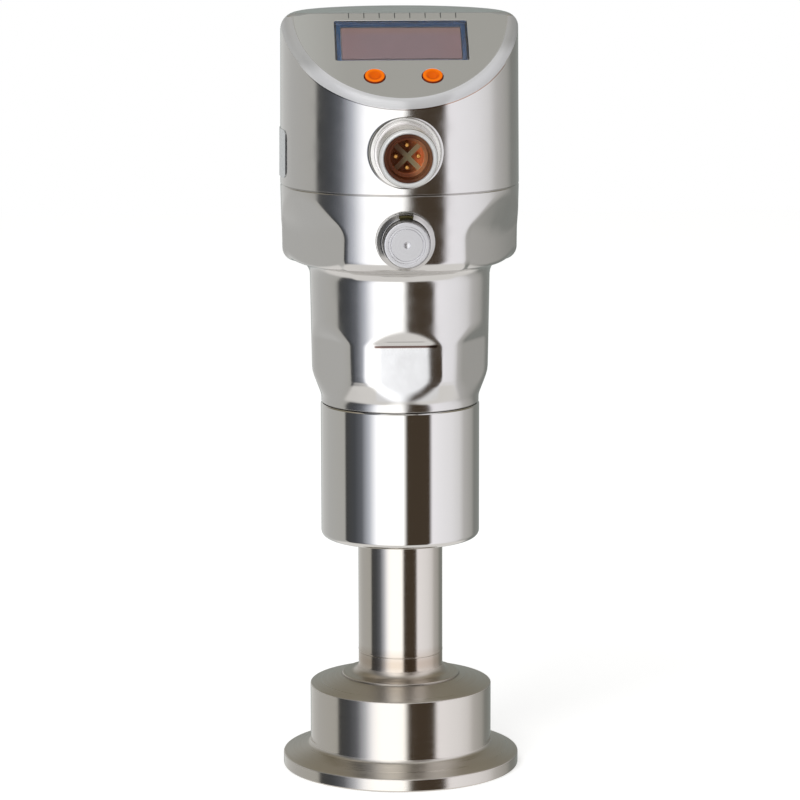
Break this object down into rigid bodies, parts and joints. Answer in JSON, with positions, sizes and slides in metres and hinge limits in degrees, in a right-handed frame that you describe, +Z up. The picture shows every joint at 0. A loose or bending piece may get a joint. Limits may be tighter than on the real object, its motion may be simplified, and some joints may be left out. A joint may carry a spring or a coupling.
{
  "type": "hygienic pressure sensor",
  "caption": "Hygienic pressure sensor: clamp ferrule with flush diaphragm, slim neck, turned barrel and a swivelling cast head with slanted display, push buttons, round connector and vent.",
  "frame": {"origin": "centre of the clamp flange's sealing face, on the sensor's axis", "axes": "+Z up along the sensor's axis, towards the display head; -Y is the front, where the connector and the display face point; +X is the right side seen from the front"},
  "size_m": [0.0506, 0.0623, 0.1615],
  "materials": {
    "turned_steel": "fine turned stainless steel, slightly warm, satin",
    "polished_steel": "mirror polished stainless steel",
    "cast_steel": "electropolished cast stainless steel, soft gloss",
    "diaphragm_steel": "thin rolled stainless steel, bright",
    "spring_steel": "spring steel, satin",
    "connector_metal": "nickel plated brass, bright",
    "vent_steel": "turned stainless steel, bright, with turning marks",
    "gold_contact": "gold plated brass",
    "amber_plastic": "translucent amber brown plastic",
    "orange_plastic": "orange plastic, soft gloss",
    "window_pane": "tinted clear pane",
    "blue_frame": "dark blue glued edge",
    "display_face": "dim red brown display face",
    "green_board": "solder-masked circuit board",
    "black_plastic": "black moulded plastic",
    "flex_foil": "amber flex foil",
    "label_film": "blank silver-white film",
    "seal_rubber": "black seal rubber",
    "membrane_white": "white vent membrane",
    "lead_sheath": "grey lead sheath"
  },
  "bodies": {
    "process_connection": {"clamp_ferrule": "turned_steel", "process_diaphragm": "diaphragm_steel", "capillary_tube": "diaphragm_steel", "neck_tube": "turned_steel", "sensor_barrel": "polished_steel", "pressure_cell": "turned_steel", "cell_pins": "gold_contact", "sensor_board": "green_board", "signal_lead": "lead_sheath", "swivel_spigot": "turned_steel", "swivel_seal": "seal_rubber", "retaining_ring": "spring_steel", "stop_pin": "spring_steel"},
    "housing": {"lower_housing": "cast_steel", "upper_cover": "cast_steel", "cover_seal": "seal_rubber", "side_label": "label_film", "display_window": "window_pane", "display_frame": "blue_frame", "display_module": "display_face", "display_board": "green_board", "board_screws": "spring_steel", "flex_strip": "flex_foil", "main_board": "green_board", "lead_socket": "black_plastic", "board_carrier": "black_plastic", "mode_switch": "black_plastic", "set_switch": "black_plastic", "mode_button_seal": "seal_rubber", "set_button_seal": "seal_rubber", "connector_shell": "connector_metal", "connector_seal": "seal_rubber", "connector_insert": "amber_plastic", "connector_pins": "gold_contact", "vent_body": "vent_steel", "vent_disc": "vent_steel", "vent_membrane": "membrane_white", "vent_seal": "seal_rubber"},
    "mode_button": {"mode_button": "orange_plastic"},
    "set_button": {"set_button": "orange_plastic"}
  },
  "joints": [
    {"name": "housing_swivel", "type": "hinge", "parent": "process_connection", "child": "housing", "pos_m": [0, 0, 0.0791], "axis": [0, 0, 1], "range_deg": [-172.5, 172.5]},
    {"name": "mode_button_press", "type": "slide", "parent": "housing", "child": "mode_button", "axis": [0, 0.5948, -0.8039], "range_m": [0, 0.0006], "stiffness_N_per_m": 800, "springref_m": -0.0003},
    {"name": "set_button_press", "type": "slide", "parent": "housing", "child": "set_button", "axis": [0, 0.5948, -0.8039], "range_m": [0, 0.0006], "stiffness_N_per_m": 800, "springref_m": -0.0003}
  ]
}
